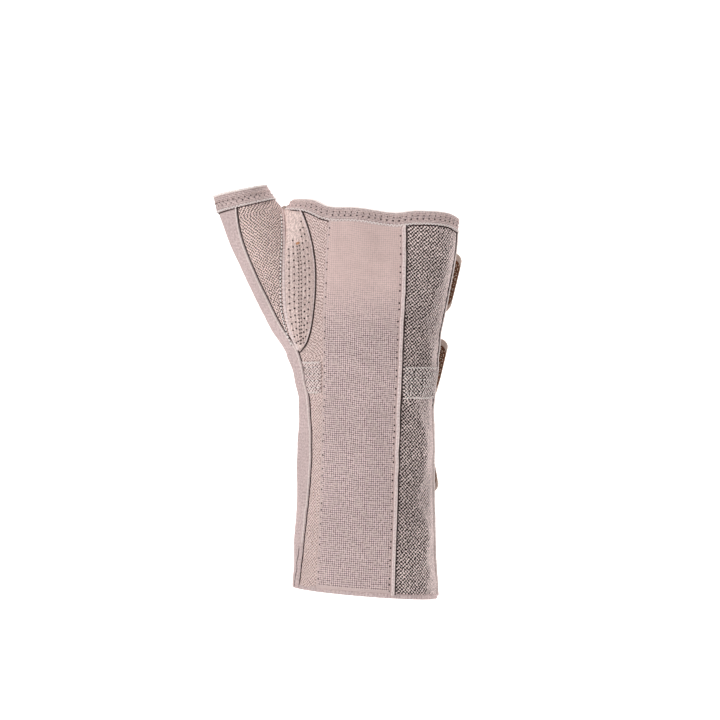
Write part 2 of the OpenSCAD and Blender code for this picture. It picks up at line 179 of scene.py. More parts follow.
def drape(p):
    """Slow rolls in worn cloth, creases where the wrist bends, and the hollow of the palm."""
    slow = noise.noise(p * 0.028) * 0.35
    fine = noise.noise(Vector((p.x * 0.06, p.y * 0.06, p.z * 0.11 + 7))) * 0.22
    crease = math.exp(-((p.z - 112) / 26) ** 2)
    lines = math.sin(p.z * 0.42 + p.x * 0.05 + 2.2 * noise.noise(p * 0.03))
    calm = 0.45 if p.y > 2 and p.x > -24 else 1.0
    hollow = 1.5 * math.exp(-((p.x - 14) / 9) ** 2) * ease((p.z - 158) / 36) * ease(-p.y / 12)
    return (slow + fine + 0.22 * crease * lines) * calm - hollow


swell_grid = []
SWELL_STEP, SWELL_COLUMNS = 4.0, 72


def swell(z, angle):
    """How far the simulated cloth stands off the even tube; the straps hold it in on the back."""
    if not swell_grid:
        return 0.0
    r = min(max(z / SWELL_STEP, 0.0), len(swell_grid) - 1.001)
    c = (angle % 360) * SWELL_COLUMNS / 360
    i, j = int(r), int(c)
    a, b = swell_grid[i], swell_grid[i + 1]
    k = (j + 1) % SWELL_COLUMNS
    strapped = 1 - 0.7 * ease(math.sin(math.radians(angle)) * 4)
    return strapped * mix(mix(a[j], a[k], c - j), mix(b[j], b[k], c - j), r - i)


def hand_point(z, angle):
    section = hand_section(z)
    return on_section(section, z, angle, swell(z, angle) + drape(on_section(section, z, angle, 0)))


def thumb_point(z, angle):
    section = thumb_section(z)
    hand_part = 1 - ease((z - WEB_Z + 16) / 16)
    lift = drape(on_section(section, z, angle, 0))
    if hand_part > 0:
        lift += swell(z, angle) * hand_part
    return on_section(section, z, angle, lift)


def section_angle(section, x):
    return math.degrees(math.acos(min(max((x - section[0]) / section[1], -1.0), 1.0)))


def back_angle(z, x):
    return section_angle(hand_section(z), x)


def palm_angle(z, x):
    return 360 - back_angle(z, x)


def palm_at(z, table, shift=0.0):
    """Angle on the hand tube of a line that a table draws on the palm side."""
    return palm_angle(z, along(z, table) + shift)


def thumb_at(z, table, shift=0.0):
    return 360 - section_angle(thumb_section(z), along(z, table) + shift)


def palm_top(angle):
    section = hand_section(PANEL_TOP)
    return along(section[0] + section[1] * math.cos(math.radians(angle)), PALM_EDGE)


def thumb_top(angle):
    z = THUMB_H + 2
    for _ in range(3):
        section = thumb_section(z)
        x = section[0] + section[1] * math.cos(math.radians(angle))
        z = THUMB_H + THUMB_RISE * (x + THUMB_REACH)
    return z


def fold_angle(z):
    return back_angle(z, FOLD_X)


def strip_seam(z):
    """Angle of the seam on the thumb side of the pile strip."""
    return palm_at(z, DARK_SEAM if z < WEB_Z else CURVED_SEAM)


def placed(name, data):
    """A new object, in the scene."""
    made = bpy.data.objects.new(name, data)
    bpy.context.scene.collection.objects.link(made)
    return made


def relax_sleeve(frames=24, cap=1.1, inward=0.3):
    """Simulates the tube as slack cloth under light pressure, sewn down along its seams."""
    levels = [SWELL_STEP * k for k in range(51)]
    ring = [360 * k / SWELL_COLUMNS for k in range(SWELL_COLUMNS)]
    points, pins = [], []
    for z in levels:
        section = hand_section(z)
        seams = [palm_at(z, POCKET_LEFT), palm_at(z, POCKET_RIGHT)]
        seams += [palm_angle(z, x) for x in (STAY_X - STAY_W / 2, STAY_X + STAY_W / 2)]
        seams += [back_angle(z, x) for x in (FOLD_X, FLAP_EDGE_X, OPENING_EDGE_X)]
        seams += [strip_seam(z), 360 - strip_seam(z), 0]
        sewn = [on_section(section, z, a, 0) for a in seams]
        for a in ring:
            p = on_section(section, z, a, 0)
            if z in (levels[0], levels[-1]) or min((p - q).length for q in sewn) < 2.0:
                pins.append(len(points))
            points.append(p * MM)
    n = SWELL_COLUMNS
    faces = [(r * n + c, r * n + (c + 1) % n, (r + 1) * n + (c + 1) % n, (r + 1) * n + c)
        for r in range(len(levels) - 1) for c in range(n)]
    data = bpy.data.meshes.new("slack_cloth")
    data.from_pydata(points, [], faces)
    slack = placed("slack_cloth", data)
    slack.vertex_groups.new(name="sewn").add(pins, 1.0, "REPLACE")
    cloth = slack.modifiers.new("Cloth", "CLOTH")
    cloth.point_cache.frame_end = frames
    how = {"quality": 7, "mass": 0.15, "tension_stiffness": 8, "compression_stiffness": 8,
        "shear_stiffness": 5, "bending_stiffness": 6, "vertex_group_mass": "sewn", "pin_stiffness": 1.0,
        "shrink_min": -0.012, "use_pressure": True, "uniform_pressure_force": 4}
    for key, value in how.items():
        setattr(cloth.settings, key, value)
    cloth.settings.effector_weights.gravity = 0
    for frame_number in range(1, frames + 1):
        bpy.context.scene.frame_set(frame_number)
    done = slack.evaluated_get(bpy.context.evaluated_depsgraph_get()).data
    for r, z in enumerate(levels):
        section = hand_section(z)
        row = []
        for c, a in enumerate(ring):
            moved = Vector(done.vertices[r * n + c].co) / MM - on_section(section, z, a, 0)
            away = on_section(section, z, a, 1) - on_section(section, z, a, 0)
            rise = moved.dot(away)
            limit = cap if rise > 0 else inward
            row.append(limit * math.tanh(rise / limit))
        swell_grid.append(row)
    bpy.data.objects.remove(slack)
    bpy.data.meshes.remove(data)
    bpy.context.scene.frame_set(1)


def below_hem(angle, gap=0.0):
    """Height of the palm hem's lower edge, plus a gap."""
    return palm_top(angle) - HEM_W + gap


def below_thumb_hem(angle):
    return thumb_top(angle) - THUMB_HEM_W + 1.2


# ---- surfaces, (u, v) in 0..1
def hand_panel(start, stop):
    """A panel of the hand tube between two lines of angles, from hem to hem."""
    def place(u, v):
        guess = mix(start(PANEL_TOP * v), stop(PANEL_TOP * v), u)
        z = mix(PANEL_LOW, below_hem(guess, 1.0), v)
        angle = mix(start(z), stop(z), u)
        return hand_point(mix(PANEL_LOW, below_hem(angle, 1.0), v), angle)
    return place


def hand_patch(start, stop, low, high):
    def place(u, v):
        z = mix(low, high, v)
        return hand_point(z, mix(start(z), stop(z), u))
    return place


def side_band(u, v):
    z = mix(PANEL_LOW, below_thumb_hem(180), v)
    half = thumb_at(z, DARK_SEAM) - 180
    angle = 180 + mix(-half, half, u)
    return thumb_point(z + v ** 3 * (thumb_top(angle) - thumb_top(180)), angle)


def thumb_face(side):
    def place(u, v):
        low = WEB_Z + 3.5
        t = u if side > 0 else 1 - u
        level = mix(low, below_thumb_hem(mix(230, 360, t)), v)
        guess = mix(thumb_at(level, DARK_SEAM), thumb_at(level, STITCH_SEAM), t)
        z = mix(low, below_thumb_hem(guess), v)
        angle = mix(thumb_at(z, DARK_SEAM), thumb_at(z, STITCH_SEAM), t)
        return thumb_point(z, angle if side > 0 else 360 - angle)
    return place


def web_edges(w):
    """Where the gusset meets the thumb and the palm, at w from -1 (palm) over the web to 1 (back)."""
    crest, crest_z, shoulder_z, low = 0.25, 205.0, 197.0, WEB_Z + 0.4
    s = abs(w)
    q = min(s / crest, 1.0)
    t = max((s - crest) / (1 - crest), 0.0)
    side = 1 if w > 0 else -1
    thumb_z = mix(mix(crest_z, shoulder_z, q * q), low, t)
    thumb_a = max(360 - thumb_at(thumb_z, STITCH_SEAM), 0.0)
    rim = 180 + q * (strip_seam(below_hem(210, 1.0)) - 180)
    palm_z = mix(below_hem(rim, 0.2), low, t)
    palm_a = max((strip_seam(palm_z) if t > 0 else rim) - 180, 0.0)
    return thumb_z, side * thumb_a, palm_z, 180 - side * palm_a


def web(u, v):
    w = mix(1, -1, u)
    thumb_z, thumb_a, palm_z, palm_a = web_edges(w)
    point = thumb_point(thumb_z, thumb_a).lerp(hand_point(palm_z, palm_a), v)
    fill = 1.6 * math.sin(math.pi * v) * ease((abs(w) - 0.2) / 0.3) * ease((1 - abs(w)) / 0.2)
    return point + Vector((0, fill * (1 if w > 0 else -1), 0))


def strap_way(low, reach, out, u, v, margin=0.0):
    """A strap from its tip (u = 0) to its sewn root (u = 1), with rounded tip corners."""
    corner, bend, length = 6.0, 0.2, 62.0
    half = STRAP_W / 2 - margin
    s = u * length
    if s < corner:
        half -= corner - math.sqrt(max(corner ** 2 - (corner - s) ** 2, 0.0))
    z = low + STRAP_W / 2 + (2 * v - 1) * half
    section = hand_section(z)
    root = section_angle(section, STRAP_ROOT_X) - 0.5
    angle = mix(LEAVE_ANGLE, root, max((u - bend) / (1 - bend), 0.0))
    run = mix(reach[0], reach[1], (z - low) / STRAP_W) * max(1 - u / bend, 0.0)
    leave = math.radians(LEAVE_ANGLE)
    away = Vector((section[1] * math.sin(leave), -section[3] * math.cos(leave), 0)).normalized()
    return on_section(section, z, angle, out) + run * away


# ---- materials
def srgb(r, g, b):
    """Linear colour from a 0-255 screen colour."""
    def channel(c):
        c /= 255
        return c / 12.92 if c <= 0.04045 else ((c + 0.055) / 1.055) ** 2.4
    return (channel(r), channel(g), channel(b), 1.0)


class Signal:
    """The output of a shader node, with sums and products as in plain code."""

    def __init__(self, tree, socket):
        self.tree, self.socket = tree, socket

    def __add__(self, other):
        return maths("ADD", self, other)

    def __sub__(self, other):
        return maths("SUBTRACT", self, other)

    def __mul__(self, other):
        return maths("MULTIPLY", self, other)


def feed(tree, node, inputs):
    """Sets a node's inputs, or links them to the outputs of other nodes."""
    for key, value in inputs.items():
        if isinstance(value, Signal):
            tree.links.new(value.socket, node.inputs[key])
        else:
            node.inputs[key].default_value = value


def wire(tree, kind, inputs=None, output=0, **settings):
    """Adds a node with its properties and inputs, and gives one of its outputs."""
    node = tree.nodes.new("ShaderNode" + kind)
    for key, value in settings.items():
        setattr(node, key, value)
    feed(tree, node, inputs or {})
    return Signal(tree, node.outputs[output])


def maths(operation, a, b=0.0, c=0.0):
    return wire(a.tree, "Math", {0: a, 1: b, 2: c}, operation=operation)


def remap(value, low, high, to_low=0.0, to_high=1.0):
    return wire(value.tree, "MapRange", {0: value, 1: low, 2: high, 3: to_low, 4: to_high},
        interpolation_type="SMOOTHSTEP")


def blend_colour(tree, factor, a, b, how="MIX"):
    return wire(tree, "Mix", {0: factor, 6: a, 7: b}, 2, data_type="RGBA", blend_type=how)


def part(vector, axis):
    return wire(vector.tree, "SeparateXYZ", {0: vector}, axis)


def speckle(vector, scale, detail=2.0, rough=0.6):
    return wire(vector.tree, "TexNoise", {"Vector": vector, "Scale": scale, "Detail": detail,
        "Roughness": rough})


def line(value, pitch, width):
    """1 on thin lines that repeat every pitch, 0 between them."""
    return remap(maths("PINGPONG", value, pitch / 2), 0.0, width, 1.0, 0.0)


# Cloth patterns: how dark and how deep the cloth is, from its coordinates in millimetres
def grid_weave(uv, x, y):
    wobble = speckle(uv, 0.35) * 0.22
    across, down = line(x + wobble, 1.12, 0.34), line(y + wobble, 1.12, 0.34)
    uneven = remap(speckle(uv, 0.8, 3.0), 0.3, 0.7, 0.45, 1.3)
    return (maths("MAXIMUM", across, down) * 0.8 + across * down * 0.6) * uneven


def loops_of(uv, x, y, pitch, cover):
    """Slanting rows of small loops over dark gaps, a little uneven; cover is the share of loops."""
    wave = TAU / pitch
    stray = remap(speckle(uv, 0.45), 0.3, 0.7, -1.0, 1.0)
    rise = maths("SINE", maths("MULTIPLY_ADD", x + y, wave, stray))
    fall = maths("SINE", maths("MULTIPLY_ADD", x - y, wave * 0.93, stray))
    uneven = remap(speckle(uv, 1.3), 0.35, 0.65, -0.8, 0.8)
    return remap(rise + fall + uneven, cover - 0.8, cover + 0.8, 1.0, 0.0)


pile = functools.partial(loops_of, pitch=1.85, cover=0.2)
fine_pile = functools.partial(loops_of, pitch=1.6, cover=-0.38)


def smooth_knit(uv, x, y):
    grain = remap(speckle(uv, 0.9, 3.0, 0.75), 0.4, 0.58, 0.6, 0.0)
    return line(y, 1.7, 0.6) * 0.16 + line(x, 0.9, 0.3) * 0.14 + grain


def tape(uv, x, y):
    return line(x, 0.9, 0.32) * 0.45 + remap(speckle(uv, 1.2), 0.35, 0.65, 0.4, 0.0)


def webbing(uv, x, y):
    return line(y, 1.0, 0.36) * 0.5 + line(x + y, 2.2, 0.5) * 0.3


def new_material(name):
    mat = bpy.data.materials.new(name)
    mat.use_nodes = True
    return mat, mat.node_tree, mat.node_tree.nodes["Principled BSDF"]


def fabric(name, light, dark, pattern, contrast=1.0, bump=0.25, rough=0.85, sheen=0.35, edge=None,
        painted_top_highlight=None, drift=(0.93, 1.05), pile_fuzz_edge_glow=0.0):
    """Cloth with a pattern, slow colour drift and sheen.

    edge: colour of the rim, and the millimetres where it starts and stops fading out. The argument after
    edge is a painted warm highlight near the top: heights in metres where the pattern starts and stops
    thinning, the share left, and the painted highlight's colour there.
    The last argument: how far light pile covers the gaps where the cloth turns away from the eye; this is
    partly real fuzz and partly a painted bright edge on the side in shade.
    """
    mat, tree, bsdf = new_material(name)
    light, dark = srgb(*light), srgb(*dark)
    uv = wire(tree, "UVMap", uv_map="cloth")
    height = pattern(uv, part(uv, 0), part(uv, 1))
    shade = wire(tree, "Clamp", {0: height * contrast})
    place = wire(tree, "TexCoord", output="Object")
    # Painted warm highlight: towards the top the pattern thins and the colour turns to the highlight
    # colour.
    if painted_top_highlight:
        start, stop, share, highlight_colour = painted_top_highlight
        keep = remap(part(place, 2), start, stop, 1.0, share)
        light = blend_colour(tree, keep, srgb(*highlight_colour), light)
        shade, height = shade * keep, height * keep
    colour = blend_colour(tree, shade, light, dark)
    # Partly real pile fuzz, partly a painted bright edge: where the cloth turns away from the eye it
    # takes its light loop colour, on the shaded side too.
    if pile_fuzz_edge_glow:
        facing = wire(tree, "LayerWeight", {0: 0.5}, "Facing")
        colour = blend_colour(tree, remap(facing, 0.25, 0.8, 0.0, pile_fuzz_edge_glow), colour, light)
    slow = remap(speckle(place, 30.0, 3.0), 0.3, 0.7, *drift)
    tint = wire(tree, "CombineColor", {0: slow, 1: slow, 2: slow})
    colour = blend_colour(tree, 1.0, colour, tint, "MULTIPLY")
    if edge:
        rim_colour, start, stop = edge
        reach = wire(tree, "Attribute", None, "Fac", attribute_name="edge")
        colour = blend_colour(tree, remap(reach, start, stop, 1.0, 0.0), colour, srgb(*rim_colour))
    lump = wire(tree, "Bump", {"Strength": 0.9, "Distance": bump * MM, "Height": height}, invert=True)
    feed(tree, bsdf, {"Base Color": colour, "Normal": lump, "Roughness": rough, "Sheen Weight": sheen,
        "Sheen Roughness": 0.5, "Sheen Tint": srgb(236, 205, 200), "Specular IOR Level": 0.25})
    return mat


def solid(name, light, dark, scale=900.0, rough=0.7, metal=0.0, stretch=(1, 1, 1), bump=0.03):
    """Thread, moulded plastic or brushed metal, with grain taken from the piece's own space."""
    mat, tree, bsdf = new_material(name)
    place = wire(tree, "TexCoord", output="Object")
    grain = speckle(wire(tree, "Mapping", {0: place, 3: stretch}), scale, 3.0)
    colour = blend_colour(tree, remap(grain, 0.3, 0.7), srgb(*dark), srgb(*light))
    lump = wire(tree, "Bump", {"Strength": 0.5, "Distance": bump * MM, "Height": grain})
    feed(tree, bsdf, {"Base Color": colour, "Normal": lump, "Metallic": metal, "Roughness": remap(grain,
        0.2, 0.8, rough * 0.8, min(rough * 1.2, 1.0))})
    return mat


M = {
    # The woven panel gets a painted warm highlight at its top: the grid thins and the colour warms there.
    "woven": fabric("woven_panel", (234, 210, 208), (82, 56, 56), grid_weave, 1.0, 0.2, 0.72, 0.5,
                    edge=((208, 186, 183), 1.4, 1.9), painted_top_highlight=(0.13, 0.175, 0.3, (212, 184, 177)),
                    drift=(0.95, 1.04)),
    "knit": fabric("smooth_knit", (216, 196, 194), (150, 122, 120), smooth_knit, 0.8, 0.1, 0.8, 0.5),
    "gusset": fabric("gusset_knit", (248, 225, 218), (124, 96, 90), smooth_knit, 0.7, 0.16, 0.85, 0.45),
    # pile: its wide slow drift is partly the pile's own uneven tone and partly painted patches of light
    # and shade.
    "pile": fabric("loop_pile", (252, 230, 226), (38, 20, 19), pile, 1.0, 0.4, 0.95, 0.2,
                   drift=(0.8, 1.1), pile_fuzz_edge_glow=0.6),
    "strip": fabric("strip_pile", (238, 214, 209), (150, 120, 113), fine_pile, 0.9, 0.3, 0.95, 0.4),
    "pale_band": fabric("pale_band", (240, 219, 215), (104, 76, 72), fine_pile, 0.9, 0.3, 0.9, 0.3),
    "thumb": fabric("thumb_pile", (250, 222, 215), (44, 20, 16), fine_pile, 1.0, 0.35, 0.92, 0.3,
                    drift=(0.88, 1.08)),
    "band": fabric("elastic_band", (255, 236, 232), (26, 12, 10), pile, 1.0, 0.4, 0.9, 0.2),
    "tape": fabric("binding_tape", (230, 208, 205), (96, 68, 62), tape, 1.0, 0.2, 0.85, 0.4,
                   edge=((244, 234, 230), 0.35, 1.1)),
    # piping: its own pale colour, lightened further as a painted highlight on the raised cord.
    "piping": fabric("piping", (246, 229, 226), (176, 148, 144), smooth_knit, 0.7, 0.08, 0.7, 0.4),
    "white": fabric("edge_piping", (240, 226, 222), (190, 170, 164), smooth_knit, 0.6, 0.08, 0.7, 0.4),
    "strap": fabric("strap_webbing", (232, 214, 202), (158, 130, 116), webbing, 0.8, 0.2, 0.8, 0.4),
    "lining": fabric("lining_cotton", (222, 204, 194), (172, 148, 138), tape, 0.7, 0.1, 0.9, 0.3),
    "hook": fabric("hook_tape", (138, 92, 66), (58, 34, 26), tape, 1.0, 0.2, 0.5, 0.1),
    "thread": solid("sewing_thread", (232, 212, 207), (190, 162, 156), 1400.0),
    "light_thread": solid("light_thread", (254, 248, 246), (228, 212, 207), 1400.0),
    "bartack": solid("bartack_thread", (214, 160, 120), (170, 112, 78), 1400.0),
    # needle_hole: near black as painted shade inside the needle holes.
    "hole": solid("needle_hole", (62, 38, 36), (38, 22, 21), 900.0, 0.95),
    "seam": solid("seam_shadow", (62, 40, 38), (38, 22, 21), 900.0, 0.95),
    "hooks": solid("hook_plastic", (186, 124, 86), (96, 56, 36), 700.0, 0.45),
    "pale_hooks": solid("pale_hooks", (254, 238, 220), (226, 190, 160), 700.0, 0.45),
    "alloy": solid("brushed_aluminium", (206, 208, 210), (168, 170, 173), 60.0, 0.32, 1.0, (40, 40, 1),
                   0.02),
    "steel": solid("spring_steel", (178, 178, 180), (130, 131, 134), 60.0, 0.35, 1.0, (40, 40, 1), 0.02),
}


# ---- mesh building
class Mesh:
    """Gathers closed forms in millimetres, with cloth coordinates, then makes one object."""

    def __init__(self):
        self.points, self.faces, self.paint, self.cloth, self.edge = [], [], [], [], []

    def add(self, point, cloth=(0.0, 0.0), edge=9.0):
        self.points.append(point)
        self.cloth.append(cloth)
        self.edge.append(edge)
        return len(self.points) - 1

    def face(self, *corners, paint=0):
        self.faces.append(corners)
        self.paint.append(paint)

    def loft(self, rings, paint=0, closed=False):
        """Joins rings of point numbers into a skin; caps the ends unless the skin is closed."""
        pairs = list(zip(rings, rings[1:]))
        if closed:
            pairs.append((rings[-1], rings[0]))
        for a, b in pairs:
            for k, j in around(len(a)):
                self.face(a[k], a[j], b[j], b[k], paint=paint)
        if not closed:
            self.face(*reversed(rings[0]), paint=paint)
            self.face(*rings[-1], paint=paint)

    def make(self, name, cloths, *nodes, slot=None, body="sleeve"):
        """Makes the object, with the named materials, in place of the CAD nodes."""
        data = bpy.data.meshes.new(name)
        data.from_pydata([p * MM for p in self.points], [], self.faces)
        for cloth in cloths.split():
            data.materials.append(M[cloth])
        data.polygons.foreach_set("material_index", self.paint)
        data.polygons.foreach_set("use_smooth", [True] * len(self.faces))
        layer = data.uv_layers.new(name="cloth")
        for loop in data.loops:
            layer.data[loop.index].uv = self.cloth[loop.vertex_index]
        data.attributes.new("edge", "FLOAT", "POINT").data.foreach_set("value", self.edge)
        data.validate()
        piece = placed(name, data)
        if nodes:
            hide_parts(*nodes)
        if body:
            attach(piece, body)
        return piece


def around(count):
    """Each number of a ring with the next one."""
    return [(k, (k + 1) % count) for k in range(count)]


def spaced(count, length, first=(0.0, 0.25, 0.6, 1.1)):
    """Even steps of 0..1, with extra ones close to both ends for a rounded edge."""
    near = [d / length for d in first if d < length / 3]
    start = near[-1]
    inner = [mix(start, 1 - start, k / count) for k in range(1, count)]
    return near + inner + [1 - t for t in reversed(near)]


def measure(points):
    """How far along a line of points each one lies."""
    steps = (math.dist(p, q) for p, q in zip(points, points[1:]))
    return list(itertools.accumulate(steps, initial=0.0))


def normal_at(grid, r, c):
    rows, cols = len(grid), len(grid[0])
    du = grid[r][min(c + 1, cols - 1)] - grid[r][max(c - 1, 0)]
    dv = grid[min(r + 1, rows - 1)][c] - grid[max(r - 1, 0)][c]
    n = du.cross(dv)
    return n.normalized() if n.length > 1e-9 else Vector((0, -1, 0))


def sheet(mesh, place, cols, rows, thick, relief=None, roll=0.7, roll_w=1.1, sides="lrbt", out=0.0):
    """A closed piece of cloth with rounded edges on the sides named in sides."""
    mid = [[place(u, v) for u in (0.0, 0.5, 1.0)] for v in (0.0, 0.25, 0.5, 0.75, 1.0)]
    wide = max((row[1] - row[0]).length + (row[2] - row[1]).length for row in mid)
    tall = sum((mid[k + 1][1] - mid[k][1]).length for k in range(4))
    us, vs = spaced(cols, wide), spaced(rows, tall)
    grid = [[place(u, v) for u in us] for v in vs]
    across = [measure(row) for row in grid]
    down = list(zip(*[measure(column) for column in zip(*grid)]))
    outer, inner = {}, {}
    for r, row in enumerate(grid):
        width = across[r][-1]
        for c, p in enumerate(row):
            n = normal_at(grid, r, c)
            x, y = across[r][c], down[r][c]
            gaps = {"l": x, "r": width - x, "b": y, "t": down[-1][c] - y}
            edge = min(gaps[k] for k in sides)
            drop = 0.0
            if edge < roll_w:
                drop = roll * (1 - math.sqrt(max(1 - (1 - edge / roll_w) ** 2, 0.0)))
            lift = out - drop
            if relief:
                lift += relief(p, y) * min(edge / roll_w, 1.0)
            cloth = (x - width / 2, y)
            outer[r, c] = mesh.add(p + n * lift, cloth, min(gaps.values()))
            inner[r, c] = mesh.add(p - n * (thick - out - drop * 0.4), cloth, min(gaps.values()))
    top, last = len(vs) - 1, len(us) - 1
    for r in range(top):
        for c in range(last):
            a, b, d, e = (r, c), (r, c + 1), (r + 1, c + 1), (r + 1, c)
            mesh.face(outer[a], outer[b], outer[d], outer[e])
            mesh.face(inner[a], inner[e], inner[d], inner[b], paint=1)
    rim = [(0, c) for c in range(last)] + [(r, last) for r in range(top)]
    rim += [(top, c) for c in range(last, 0, -1)] + [(r, 0) for r in range(top, 0, -1)]
    for a, b in zip(rim, rim[1:] + rim[:1]):
        mesh.face(outer[b], outer[a], inner[a], inner[b])


def panel(name, place, cols, rows, cloths, node, slot, thick=FABRIC_T, body="sleeve", **options):
    mesh = Mesh()
    sheet(mesh, place, cols, rows, thick, **options)
    return mesh.make(name, cloths, node, slot=slot, body=body)


# Shallow reliefs, in millimetres
def pile_relief(p, y):
    return 0.34 * noise.noise(p * 0.9) + 0.16 * noise.noise(p * 1.9 + Vector((3, 5, 1)))


def knit_relief(p, y):
    return 0.015 * math.sin(TAU * y / 3.2) + 0.1 * noise.noise(p * 0.25)


def woven_relief(p, y):
    return 0.35 + 0.06 * noise.noise(p * 0.5) + 0.07 * math.sin(TAU * y / 9.0)


def strap_relief(p, y):
    return 0.06 * math.sin(TAU * y / 4.0)


# ---- threads, cords and bindings
def frame_along(path):
    """Points with a normal and a unit tangent, from a list of (point, normal)."""
    out = []
    for k, (p, n) in enumerate(path):
        a, b = path[max(k - 1, 0)][0], path[min(k + 1, len(path) - 1)][0]
        out.append((p, n, (b - a).normalized()))
    return out


def resample(path, pitch):
    """Even steps along a path of (point, normal)."""
    out = [path[0]]
    left = pitch
    for (p, n), (q, m) in zip(path, path[1:]):
        step = (q - p).length
        done = 0.0
        while step - done >= left:
            done += left
            t = done / step
            out.append((p.lerp(q, t), n.lerp(m, t).normalized()))
            left = pitch
        left -= step - done
    return out


def surface_line(place, steps=160):
    """(point, outward normal) along a line: place(t, side) gives a point, side moves it sideways."""
    out = []
    for k in range(steps + 1):
        t = k / steps
        du = place(t, 0.5) - place(t, -0.5)
        dv = place(min(t + 0.004, 1.0), 0.0) - place(max(t - 0.004, 0.0), 0.0)
        out.append((place(t, 0.0), du.cross(dv).normalized()))
    return out


def ring_of(mesh, centre, a, b, radius, sides, run=0.0):
    return [mesh.add(centre + (a * math.cos(TAU * k / sides) + b * math.sin(TAU * k / sides)) * radius,
        (0.0, run)) for k in range(sides)]


def rod(mesh, stations, a, b, sides, paint=0):
    """A thin rod through stations of (centre, radius), round in the plane of a and b."""
    mesh.loft([ring_of(mesh, centre, a, b, radius, sides)[::-1] for centre, radius in stations], paint)


def cord(mesh, path, radius, lift=0.0, sides=8):
    """A cord or a dark seam line that lies along a path."""
    runs = measure([p for p, _ in path])
    mesh.loft([ring_of(mesh, p + n * lift, t.cross(n).normalized(), n, radius, sides, run)[::-1]
        for (p, n, t), run in zip(frame_along(path), runs)])


def stitch(mesh, p, n, t, length, radius, lift):
    """One stitch: a short thread that rises from the cloth and dives back in."""
    shape = ((-0.5, 0.45, -0.35), (-0.3, 0.95, 0.25), (0, 1, 0.5), (0.3, 0.95, 0.25), (0.5, 0.45, -0.35))
    rod(mesh, [(p + t * (at * length) + n * (lift + rise * radius), radius * wide) for at, wide,
        rise in shape], t.cross(n).normalized(), n, 6)


def needle_hole(mesh, p, n, t, radius, lift):
    """The pucker where a thread dives into the cloth, coloured near black as painted shade in the hole.
    """
    ring = ring_of(mesh, p + n * (lift + 0.05), t, t.cross(n).normalized(), radius, 8)
    top, base = mesh.add(p + n * (lift + 0.12)), mesh.add(p + n * (lift - 0.4))
    for k, j in around(8):
        mesh.face(ring[k], ring[j], base, paint=1)
        mesh.face(ring[j], ring[k], top, paint=1)


def stitch_row(mesh, path, pitch=3.6, length=2.5, radius=0.2, lift=0.1, hole=0.42):
    """A row of stitches with a dark needle hole between each two."""
    for k, (p, n, t) in enumerate(frame_along(resample(path, pitch / 2))):
        if k % 2:
            stitch(mesh, p, n, t, length, radius, lift)
        else:
            needle_hole(mesh, p, n, t, hole, lift)


def zigzag(mesh, path, pitch, width, radius, lift, hole=0.0):
    """Overlock or zigzag: short threads that lean alternately to either side of a path."""
    points = frame_along(resample(path, pitch / 2))
    for k, (p, n, t) in enumerate(points[:-1]):
        side = t.cross(n).normalized()
        swing = width / 2 if k % 2 else -width / 2
        a, b = p + side * swing, points[k + 1][0] - side * swing
        stitch(mesh, (a + b) / 2, n, (b - a).normalized(), (b - a).length * 0.95, radius, lift)
        if hole and k % 2:
            needle_hole(mesh, a, n, t, hole, lift)


def binding(mesh, path, section, closed=False, ripple=0.12):
    """Folds a strip over an edge: path gives (base point, outward, up), section gives (up, out)."""
    rings = []
    crown = max(h for h, _ in section)
    for (base, out, up), run in zip(path, measure([base for base, _, _ in path])):
        ring = []
        for (h, o), reach in zip(section, measure(section)):
            wave = ripple * noise.noise(Vector((run * 0.35, h * 0.5, 2.0))) if o > -0.2 else 0.0
            ring.append(mesh.add(base + up * h + out * (o + wave), (reach, run), crown - h))
        rings.append(ring)
    mesh.loft(rings, closed=closed)


def bound(name, path, section, cloths, node, slot="binding", body="sleeve", **options):
    mesh = Mesh()
    binding(mesh, path, section, **options)
    return mesh.make(name, cloths, node, slot=slot, body=body)


HEM_SECTION = [(0.0, -0.1), (0.15, 0.55), (0.7, 0.85), (1.5, 0.8), (2.6, 0.7), (3.5, 0.5), (4.4, 0.7),
    (5.6, 0.85), (6.6, 0.75), (7.2, 0.35), (7.5, -0.4), (7.55, -1.2), (7.3, -2.0), (6.6, -2.6),
    (5.0, -2.75), (2.5, -2.75), (0.6, -2.7), (0.1, -2.2)]
TURN_SECTION = [(0.0, -0.55), (0.1, -0.15), (0.5, 0.12), (1.2, 0.16), (2.2, 0.12), (2.9, -0.05),
    (3.0, -0.6), (2.8, -1.1), (1.6, -1.2), (0.5, -1.15), (0.1, -0.9)]
CORD_SECTION = [(0.0, -0.2), (0.1, 0.5), (0.45, 0.85), (0.8, 0.75), (1.0, 0.45), (1.2, 0.75), (1.6, 0.85),
    (1.95, 0.5), (2.05, -0.2)]
EDGE_SECTION = [(h * EDGE_W / HEM_W, o) for h, o in HEM_SECTION]
THUMB_SECTION = [(h * THUMB_HEM_W / HEM_W, o) for h, o in HEM_SECTION]


def outward(section, angle):
    a = math.radians(angle)
    return Vector((math.cos(a) / section[1], math.sin(a) / section[3], 0)).normalized()


def steps_of(start, stop, steps):
    return [mix(start, stop, k / steps) for k in range(steps + 1)]


def rim_ring(angles, top_of, width, point, section):
    """Base line of the binding round an opening."""
    path = []
    for angle in angles:
        top = top_of(angle)
        base = point(top - width, angle)
        path.append((base, outward(section(top), angle), (point(top, angle) - base).normalized()))
    return path


def palm_ring(start, stop, steps):
    return rim_ring(steps_of(start, stop, steps), palm_top, HEM_W, hand_point, hand_section)


def forearm_ring(start, stop, steps):
    return [(hand_point(0.0, a), outward(hand_section(0), a), Vector((0, 0, 1))) for a in steps_of(start,
        stop, steps)]


def edge_path(x_from, x_to, high):
    """Base line of a binding down one edge of the back opening, folded over towards x_to."""
    path = []
    for z in steps_of(FOREARM_HEM_H / 2, high, 180):
        angle = back_angle(z, x_from)
        base = hand_point(z, angle)
        over = (hand_point(z, back_angle(z, x_to)) - base).normalized()
        path.append((base, outward(hand_section(z), angle), over))
    return path


relax_sleeve()


# ---- sleeve panels
def at_x(table, shift=0.0):
    return lambda z: palm_at(z, table, shift)


